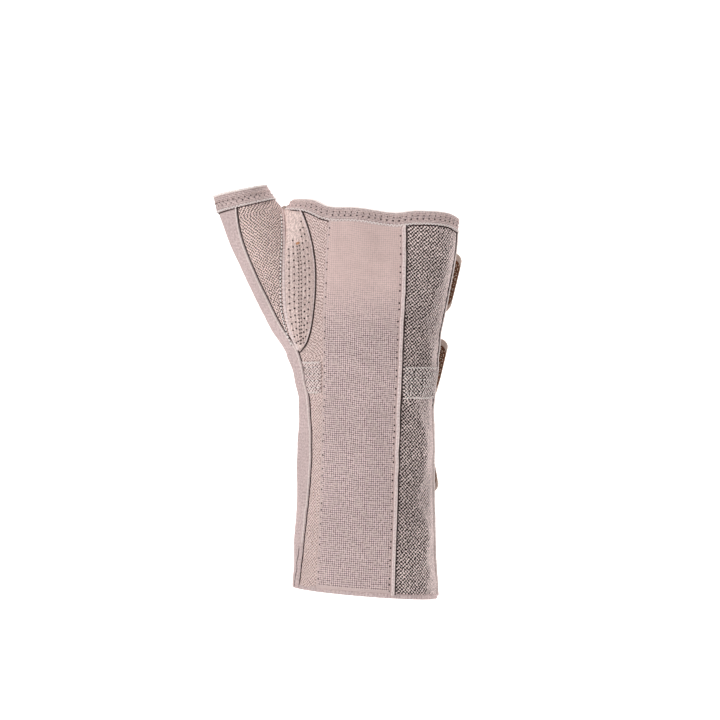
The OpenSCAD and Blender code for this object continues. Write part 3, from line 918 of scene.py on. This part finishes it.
pile_cloth = {"slot": "loop_fabric", "relief": pile_relief, "sides": "lr"}
knit_cloth = {"slot": "smooth_knit", "relief": knit_relief}
band_cloth = {"slot": "elastic_band", "thick": 0.8, "out": 0.85, "relief": knit_relief, "roll": 0.5}
panel("palmar_pocket_cloth", hand_panel(at_x(POCKET_LEFT), at_x(POCKET_RIGHT, -PIPING_W * 0.6)), 40, 190,
    "woven lining", "palmar_pocket_panel", "woven_panel", POCKET_T, relief=woven_relief, roll=0.75,
    sides="lr")
panel("radial_palm_strip_cloth", hand_panel(strip_seam, at_x(POCKET_LEFT, 0.8)), 14, 200, "strip lining",
    "radial_palm_strip", **pile_cloth)
panel("ulnar_palm_cloth", hand_panel(at_x(POCKET_RIGHT), lambda z: 359.0), 34, 220, "pile lining",
    "ulnar_palm_panel", **pile_cloth)
panel("radial_side_cloth", side_band, 34, 190, "knit lining", "radial_side_band", sides="lr",
    **knit_cloth)
panel("thumb_palmar_cloth", thumb_face(1), 28, 90, "thumb lining", "thumb_palmar_panel", **pile_cloth)
panel("thumb_dorsal_cloth", thumb_face(-1), 28, 90, "thumb lining", "thumb_dorsal_panel", **pile_cloth)
panel("thumb_web_cloth", web, 150, 20, "gusset lining", "thumb_web_gusset", sides="bt", **knit_cloth)
panel("dorsal_radial_cloth", hand_panel(fold_angle, lambda z: 360 - strip_seam(z)), 14, 190,
    "pile lining", "dorsal_radial_panel", **pile_cloth)
panel("dorsal_ulnar_cloth", hand_panel(lambda z: 1.0, lambda z: back_angle(z, OPENING_EDGE_X + 1.5)), 40,
    200, "pile lining", "dorsal_ulnar_panel", **pile_cloth)
panel("wrist_band_radial_cloth", hand_patch(at_x(DARK_SEAM, 0.3), at_x(POCKET_LEFT, -0.2), *RADIAL_BAND),
    10, 18, "pale_band pale_band", "wrist_band_radial", **band_cloth)
panel("wrist_band_ulnar_cloth", hand_patch(at_x(POCKET_RIGHT, 0.8), lambda z: 358.0, *ULNAR_BAND), 24, 18,
    "band band", "wrist_band_ulnar", **band_cloth)

# ---- sleeve bindings
opening = 360 + back_angle(PANEL_TOP, OPENING_EDGE_X)
palm_path = palm_ring(fold_angle(PANEL_TOP), opening, 220)
bound("palm_binding", palm_path, HEM_SECTION, "tape", "palm_hem")
thumb_path = rim_ring(steps_of(0, 360, 110)[:-1], thumb_top, THUMB_HEM_W, thumb_point, thumb_section)
bound("thumb_binding", thumb_path, THUMB_SECTION, "tape", "thumb_hem", closed=True)
bound("forearm_turned_hem", forearm_ring(fold_angle(0), 360 + back_angle(0, OPENING_EDGE_X), 200),
    TURN_SECTION, "knit", "forearm_hem", "smooth_knit", ripple=0.08)
bound("opening_edge_tape", edge_path(OPENING_EDGE_X + EDGE_W, OPENING_EDGE_X, below_hem(60, 0.4)),
    EDGE_SECTION, "tape", "opening_edge_binding")


def tube_line(point, angle_at, table, low, high, back=False, shift=0.0, steps=160):
    """A line that a table draws on the palm side or the back of a tube, for stitches and cords."""
    def place(t, side):
        z = mix(low, high, t)
        angle = angle_at(z, table, shift + (-side if back else side))
        return point(z, 360 - angle if back else angle)
    return surface_line(place, steps)


hand_line = functools.partial(tube_line, hand_point, palm_at)
thumb_line = functools.partial(tube_line, thumb_point, thumb_at, steps=110)


def ulnar_line(angle, low, high):
    return surface_line(lambda t, side: hand_point(mix(low, high, t), angle + side))


piping_path = []
for p, n in hand_line(POCKET_RIGHT, FOREARM_HEM_H / 2, below_hem(300, 0.5), shift=-PIPING_W):
    piping_path.append((p + n * 0.15, n, -n.cross(Vector((0, 0, 1))).normalized()))
bound("pocket_piping_cord", piping_path, CORD_SECTION, "piping", "pocket_piping", "piping", ripple=0.05)
mesh = Mesh()
cord(mesh, ulnar_line(-1.2, FOREARM_HEM_H / 2, below_hem(359, 0.5)), 0.75, 0.35, 10)
mesh.make("ulnar_edge_cord", "white", "ulnar_edge_piping", slot="piping")

# ---- stays and their channels
for node, metal in (("palmar_stay", "alloy"), ("thumb_stay", "steel"), ("ulnar_back_stay", "steel"),
        ("flap_stay", "steel")):
    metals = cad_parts[node].data.materials
    metals.clear()
    metals.append(M[metal])

CHANNEL_OUT = -FABRIC_T - 0.55 - SIDE_STAY_T - 0.2
channel_cloth = {"slot": "lining", "thick": 0.8, "roll": 0.3}


def side_channel(u, v):
    z = mix(36, 200, v)
    section = thumb_section(z)
    half = math.degrees(math.asin((SIDE_STAY_W + 4) / 2 / section[3]))
    return on_section(section, z, 180 + mix(-half, half, u), CHANNEL_OUT)


def back_channel(x, width):
    def place(u, v):
        z = mix(12, 182, v)
        angle = mix(back_angle(z, x + width / 2), back_angle(z, x - width / 2), u)
        return on_section(hand_section(z), z, angle, CHANNEL_OUT)
    return place


panel("thumb_stay_channel", side_channel, 8, 60, "lining lining", "thumb_stay_sleeve", **channel_cloth)
panel("ulnar_back_stay_channel", back_channel(29.5, SIDE_STAY_W + 2), 8, 60, "lining lining",
    "ulnar_back_stay_sleeve", **channel_cloth)
panel("flap_stay_channel", back_channel(-8, SIDE_STAY_W + 4), 8, 60, "lining lining", "flap_stay_sleeve",
    body="flap", **channel_cloth)

# The pocket's lining: a shallow channel behind the stay, closed at its finger end
(lx, ly, lz), (hx, hy, hz) = ([v / MM for v in corner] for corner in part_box("pocket_lining"))
wall = 1.0
profile = [(lx, ly + 0.3), (lx + 0.3, ly), (lx + wall, ly + 0.1)]
profile += [(x, hy - wall) for x in steps_of(lx + wall, hx - wall, 8)]
profile += [(hx - wall, ly + 0.1), (hx - 0.3, ly), (hx, ly + 0.3), (hx, hy - 0.5)]
profile += [(x, hy) for x in steps_of(hx - 0.5, lx + 0.5, 8)]
profile += [(lx, hy - 0.5)]
mesh = Mesh()
rings = []
for z in steps_of(lz, hz - wall, 60):
    ring = [mesh.add(Vector((x, y + 0.1 * noise.noise(Vector((x * 0.2, y, z * 0.1))), z)), (x, z)) for x,
        y in profile]
    rings.append(ring[::-1])
mesh.loft(rings)
mesh.make("pocket_lining_cloth", "lining", "pocket_lining", slot="lining")
mesh = Mesh()
rings = []
for z, inset in ((hz - wall + 0.02, 0.0), (hz - 0.3, 0.0), (hz, 0.3)):
    rings.append([mesh.add(Vector((x, y, z)), (x, y)) for x, y in ((lx + inset, ly + inset),
        (hx - inset, ly + inset), (hx - inset, hy - inset), (lx + inset, hy - inset))])
mesh.loft(rings)
mesh.make("pocket_lining_end", "lining", slot="lining")


# ---- back flap
def bend(piece):
    """Bakes a piece of the flap's placement into its mesh."""
    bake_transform(piece)


bend(panel("flap_cloth", hand_panel(lambda z: back_angle(z, FLAP_EDGE_X - 1.5), lambda z: fold_angle(z)
    + 0.3), 30, 190, "pile lining", "flap_panel", body=None, **pile_cloth))
bend(bound("flap_palm_binding", palm_ring(back_angle(PANEL_TOP, FLAP_EDGE_X), fold_angle(PANEL_TOP) + 0.2,
    70), HEM_SECTION, "tape", "flap_palm_hem", body=None))
bend(bound("flap_forearm_turned_hem", forearm_ring(back_angle(0, FLAP_EDGE_X), fold_angle(0) + 0.2, 60),
    TURN_SECTION, "knit", "flap_forearm_hem", "smooth_knit", None, ripple=0.08))
bound("flap_edge_tape", edge_path(FLAP_EDGE_X - EDGE_W, FLAP_EDGE_X, below_hem(80, 0.4))[::-1],
    EDGE_SECTION, "tape", "flap_edge_binding", body="flap")


# ---- straps
def hook(mesh, p, du, dv, side, paint):
    """One hook of a hook patch: it stands up from the tape and curls over to one side."""
    up, across = -du.cross(dv).normalized(), dv.normalized()
    rod(mesh, [(p + up * rise + across * (0.22 * side * aside), radius) for rise, aside,
        radius in ((0.42, 0.0, 0.3), (0.7, 0.25, 0.26), (0.9, 0.9, 0.22), (0.85, 1.5, 0.14))],
        du.normalized(), across, 5, paint)


def strap(name, low, reach):
    """One strap: its webbing, its hook patch and hooks, and its sewn root on the flap."""
    lift = STRAP_LIFT + STRAP_T
    hook_reach = [r + 0.7 for r in reach]

    def hook_place(u, v):
        return strap_way(low, hook_reach, STRAP_LIFT - 0.05, 0.36 * u, v, HOOK_MARGIN)

    def anchor_place(u, v):
        z = mix(low, low + STRAP_W, v)
        angle = mix(back_angle(z, STRAP_ROOT_X), back_angle(z, ANCHOR_X), u)
        return on_section(hand_section(z), z, angle, lift)

    def anchor_line(start, stop):
        line_points = []
        for t in steps_of(0, 1, 40):
            u, v = mix(start[0], stop[0], t), mix(start[1], stop[1], t)
            p = anchor_place(u, v)
            n = (anchor_place(u + 0.02, v) - p).cross(anchor_place(u, v + 0.02) - p)
            line_points.append((p, n.normalized()))
        return line_points

    panel(f"strap_{name}_webbing", lambda u, v: strap_way(low, reach, lift, u, v), 60, 32, "strap strap",
        f"strap_{name}", "strap_webbing", STRAP_T, f"closure_{name}", roll=0.45, relief=strap_relief)
    panel(f"hook_patch_{name}_tape", hook_place, 24, 26, "hook hook", f"hook_patch_{name}", "hook_tape",
        0.45, f"closure_{name}", roll=0.2)
    mesh = Mesh()
    for i, u in enumerate(steps_of(0.04, 0.96, 19)):
        for j, v in enumerate(steps_of(0.04, 0.96, 22)):
            hook(mesh, hook_place(u, v), hook_place(u + 0.01, v) - hook_place(u - 0.01, v),
                hook_place(u, v + 0.01) - hook_place(u, v - 0.01), 1 if (i + j) % 2 else -1,
                1 if (i * 7 + j * 5) % 3 else 0)
    mesh.make(f"hooks_{name}", "hooks pale_hooks", slot="hook_tape", body=f"closure_{name}")
    panel(f"strap_anchor_{name}_webbing", anchor_place, 10, 30, "strap strap", f"strap_anchor_{name}",
        "strap_webbing", lift - 0.15, "flap", roll=0.8)
    mesh = Mesh()
    near, far, first, last = 0.16, 0.84, 0.06, 0.94
    for start, stop in (((near, first), (near, last)), ((far, first), (far, last)),
            ((near, first), (far, first)), ((near, last), (far, last)), ((near, first), (far, last)),
            ((near, last), (far, first))):
        stitch_row(mesh, anchor_line(start, stop), 2.6, 1.8, 0.2, 0.05, 0.3)
    mesh.make(f"strap_anchor_{name}_stitches", "thread hole", slot="strap_webbing", body="flap")


for its_name, lower_edge, its_reach in STRAPS:
    strap(its_name, lower_edge, its_reach)

# ---- stitching on the sleeve
mesh = Mesh()
stitch_row(mesh, hand_line(POCKET_LEFT, 4, below_hem(290, -0.5), shift=1.5), lift=0.3)
stitch_row(mesh, hand_line(POCKET_RIGHT, 4, below_hem(300, -0.5), shift=-PIPING_W - 0.9), pitch=3.2,
    lift=0.3, hole=0.5)
mesh.make("pocket_stitches", "thread hole", slot="woven_panel")

# Seams that run up both the palm side and the back: dark cords as painted shadow in the seam grooves,
# pale lips as painted highlights beside them, and the tape behind them
dark, light, lip, seam_tape, piping, stitches = (Mesh() for _ in range(6))
rim = below_hem(212)
for back in (False, True):
    curved = hand_line(CURVED_SEAM, WEB_Z, rim, back)
    cord(dark, thumb_line(DARK_SEAM, 1, THUMB_H - 6, back), 0.3, -0.12)
    cord(dark, thumb_line(DARK_SEAM, 1, 25, back, -2.2), 0.28, -0.12)
    cord(dark, curved, 0.34, -0.1)
    # Pale lips: painted highlights on the folded edges beside the curved seam and the side seam.
    cord(light, hand_line(CURVED_SEAM, WEB_Z + 4, rim, back, -0.8), 0.5, 0.05)
    cord(lip, thumb_line(DARK_SEAM, 28, THUMB_H - 6, back, -0.95), 0.45)
    cord(seam_tape, thumb_line(DARK_SEAM, 1, THUMB_H - 4, back), 0.9, -1.5)
    cord(seam_tape, curved, 0.9, -1.5)
    cord(piping, thumb_line(STITCH_SEAM, WEB_Z + 1, 211, back), 1.1, -0.8)
    stitch_row(stitches, thumb_line(STITCH_SEAM, WEB_Z + 4, 201, back, -1.6), 2.0, 1.4, 0.38, 0.35, 0.4)
# Painted shadow lines: dark cords beside the pocket piping and inside the ulnar edge cord.
cord(dark, hand_line(POCKET_RIGHT, 2, below_hem(300), shift=0.35), 0.4, 0.15)
cord(dark, ulnar_line(-3.2, 100, below_hem(357)), 0.4, 0.1)
dark.make("seam_lines", "seam", slot="loop_fabric")
light.make("seam_lips", "piping", slot="piping")
lip.make("side_seam_lips", "white", slot="piping")
seam_tape.make("seam_tape", "lining", slot="lining")
piping.make("thumb_seam_piping", "piping", slot="piping")
stitches.make("thumb_seam_stitches", "light_thread hole", slot="binding")


def gusset_row(mesh, v, pitch, length, hole, begin, side):
    """A row of stitches down one side of the gusset, at v of the way from thumb to palm."""
    path = []
    for t in steps_of(begin, 0.96, 120):
        u = (1 - side * t) / 2
        n = (web(u + 0.003, v) - web(u - 0.003, v)).cross(web(u, v + 0.02) - web(u, v - 0.02))
        path.append((web(u, v), n.normalized()))
    stitch_row(mesh, path, pitch, length, 0.2, 0.1, hole)


mesh = Mesh()
bartack = Mesh()
for side in (-1, 1):
    for v, hole, begin in ((0.17, 0.48, 0.42), (0.33, 0.48, 0.38), (0.67, 0.48, 0.34), (0.8, 0.44, 0.3)):
        gusset_row(mesh, v, 3.6, 2.4, hole, begin, side)
    for v in (0.47, 0.55):
        gusset_row(mesh, v, 2.0, 1.3, 0.4, 0.42, side)
    for k in range(7):
        u = (1 - side * (0.4 + 0.0012 * k)) / 2
        p, q = web(u, 0.44), web(u, 0.57)
        stitch(bartack, (p + q) / 2, Vector((0, side, 0)), (q - p).normalized(), (q - p).length, 0.26,
            0.2 + 0.02 * (k % 2))
mesh.make("gusset_stitches", "thread hole", slot="smooth_knit")
bartack.make("gusset_bartack", "bartack", slot="smooth_knit")

mesh, light, shadow = Mesh(), Mesh(), Mesh()
thumb_loop = thumb_path + thumb_path[:2]
for ring, middle in ((palm_path, 2.8), (thumb_loop, 3.0)):
    stitch_row(mesh, [(b + u * middle + o * 0.62, o) for b, o, u in ring], 3.2, 2.2, 0.2, 0.05, 0.5)
    zigzag(mesh, [(b + u * 5.2 + o * 0.8, o) for b, o, u in ring], 3.2, 1.2, 0.16, 0.0, 0.42)
    zigzag(light, [(b + u * 0.4 + o * 0.75, o) for b, o, u in ring], 1.9, 1.2, 0.24, 0.1)
    cord(shadow, [(b - u * 0.5, o) for b, o, u in ring], 0.32, -0.05)
mesh.make("binding_stitches", "thread hole", slot="binding")
light.make("binding_overlock", "light_thread", slot="binding")
shadow.make("binding_shadow", "seam", slot="binding")
mesh = Mesh()
cord(mesh, [(b + u * (THUMB_HEM_W - 0.35) + o * 0.7, o) for b, o, u in thumb_loop], 0.6)
mesh.make("thumb_binding_rim", "light_thread", slot="binding")


def band_line(z, left, right, rise):
    """A line across a wrist band at height z, between two lines given as a table and a shift."""
    start, stop = (along(z, table) + shift for table, shift in (left, right))
    path = surface_line(lambda t, side: hand_point(z - side, palm_angle(z, mix(start, stop, t))), 60)
    path = [(p, n if n.y < 0.2 else -n) for p, n in path]
    return [(p + n * rise, n) for p, n in path]


mesh, light = Mesh(), Mesh()
for (low, high), left, right in ((RADIAL_BAND, (DARK_SEAM, 1.2), (POCKET_LEFT, -1.0)),
        (ULNAR_BAND, (POCKET_RIGHT, 1.6), (HAND_RIGHT, -1.2))):
    for z in (low + 0.7, high - 0.7):
        zigzag(light, band_line(z, left, right, 0.9), 1.9, 1.1, 0.22, 0.0)
    for z in steps_of(low + 3.2, high - 3.2, 3):
        stitch_row(mesh, band_line(z, left, right, 0.85), 2.6, 1.7, 0.2, 0.0, 0.36)
mesh.make("wrist_band_stitches", "light_thread hole", slot="elastic_band")
light.make("wrist_band_overlock", "light_thread", slot="elastic_band")


def back_row(mesh, x, low, high, lift=0.15):
    stitch_row(mesh, hand_line([(0, x), (1, x)], low, high, True), 3.2, 2.2, 0.2, lift, 0.36)


mesh, flap_mesh = Mesh(), Mesh()
for x in (24.5, 34.3):
    back_row(mesh, x, 8, 186)
back_row(mesh, OPENING_EDGE_X + 3.4, 4, 192, 0.7)
back_row(flap_mesh, FLAP_EDGE_X - 3.4, 4, 192, 0.7)
for low, high in ((8, 52), (89, 101), (138, 146.5), (184, 188)):
    for x in (-1.6, -14.8):
        back_row(flap_mesh, x, low, high)
mesh.make("back_stitches", "thread hole", slot="loop_fabric")
flap_mesh.make("flap_stitches", "thread hole", slot="loop_fabric", body="flap")


# ---- studio
def studio_sweep():
    """A pale floor, well under the stay's full travel, that curves up into a wall.

    The paper glows faintly, for the camera only, and is clear from behind for views of the back.
    """
    floor_z, wall_y, radius, half = -0.26, 1.5, 0.6, 3.0
    profile = [(-2.6, floor_z), (wall_y - radius, floor_z)]
    profile += [(wall_y - radius + radius * math.sin(a), floor_z + radius * (1 - math.cos(a)))
        for a in steps_of(0, math.pi / 2, 16)[1:]]
    profile += [(wall_y, 3.0)]
    data = bpy.data.meshes.new("studio_sweep")
    points = [(x, y, z) for y, z in profile for x in (-half, half)]
    data.from_pydata(points, [], [(2 * k, 2 * k + 1, 2 * k + 3, 2 * k + 2) for k in range(len(profile)
        - 1)])
    data.polygons.foreach_set("use_smooth", [True] * len(data.polygons))
    mat, tree, bsdf = new_material("studio_paper")
    glow = wire(tree, "LightPath", output="Is Camera Ray") * 0.5
    feed(tree, bsdf, {"Base Color": (0.93, 0.93, 0.93, 1), "Roughness": 0.95, "Emission Color": (1, 1, 1,
        1), "Emission Strength": glow})
    behind = wire(tree, "NewGeometry", output="Backfacing")
    clear = wire(tree, "BsdfTransparent")
    paper = wire(tree, "MixShader", {0: behind, 1: Signal(tree, bsdf.outputs[0]), 2: clear})
    feed(tree, tree.nodes["Material Output"], {0: paper})
    data.materials.append(mat)
    placed("studio_sweep", data)


def soft_light(name, place, size, power, target=(0, 0, 0.11)):
    data = bpy.data.lights.new(name, "AREA")
    data.shape = "DISK"
    data.size = size
    data.energy = power
    lamp = placed(name, data)
    lamp.location = place
    lamp.rotation_euler = (Vector(target) - Vector(place)).to_track_quat("-Z", "Y").to_euler()


studio_sweep()
soft_light("key", (-1.3, -1.1, 0.7), 0.45, 14.3)
soft_light("fill", (1.2, -1.2, 0.4), 1.0, 5)
soft_light("rim", (0.9, 0.6, 0.3), 0.35, 4)
soft_light("back_wash", (0.0, 0.5, 2.2), 1.6, 34, (0, 1.4, 0.2))
world = bpy.data.worlds.new("studio")
world.use_nodes = True
sky = world.node_tree.nodes["Background"]
seen = wire(world.node_tree, "LightPath", output="Is Camera Ray")
feed(world.node_tree, sky, {0: (1, 1, 1, 1), 1: maths("MULTIPLY_ADD", seen, 0.7, 0.3)})
bpy.context.scene.world = world
bpy.context.scene.view_settings.view_transform = "Standard"

DISTANCE = 1.6
FRAME_WIDTH = 0.3816
camera = bpy.data.cameras.new("camera")
camera.lens = camera.sensor_width * DISTANCE / FRAME_WIDTH
eye = placed("camera", camera)
eye.location = (-0.0024, -DISTANCE, 0.1245)
eye.rotation_euler = (math.pi / 2, 0, 0)
bpy.context.scene.camera = eye
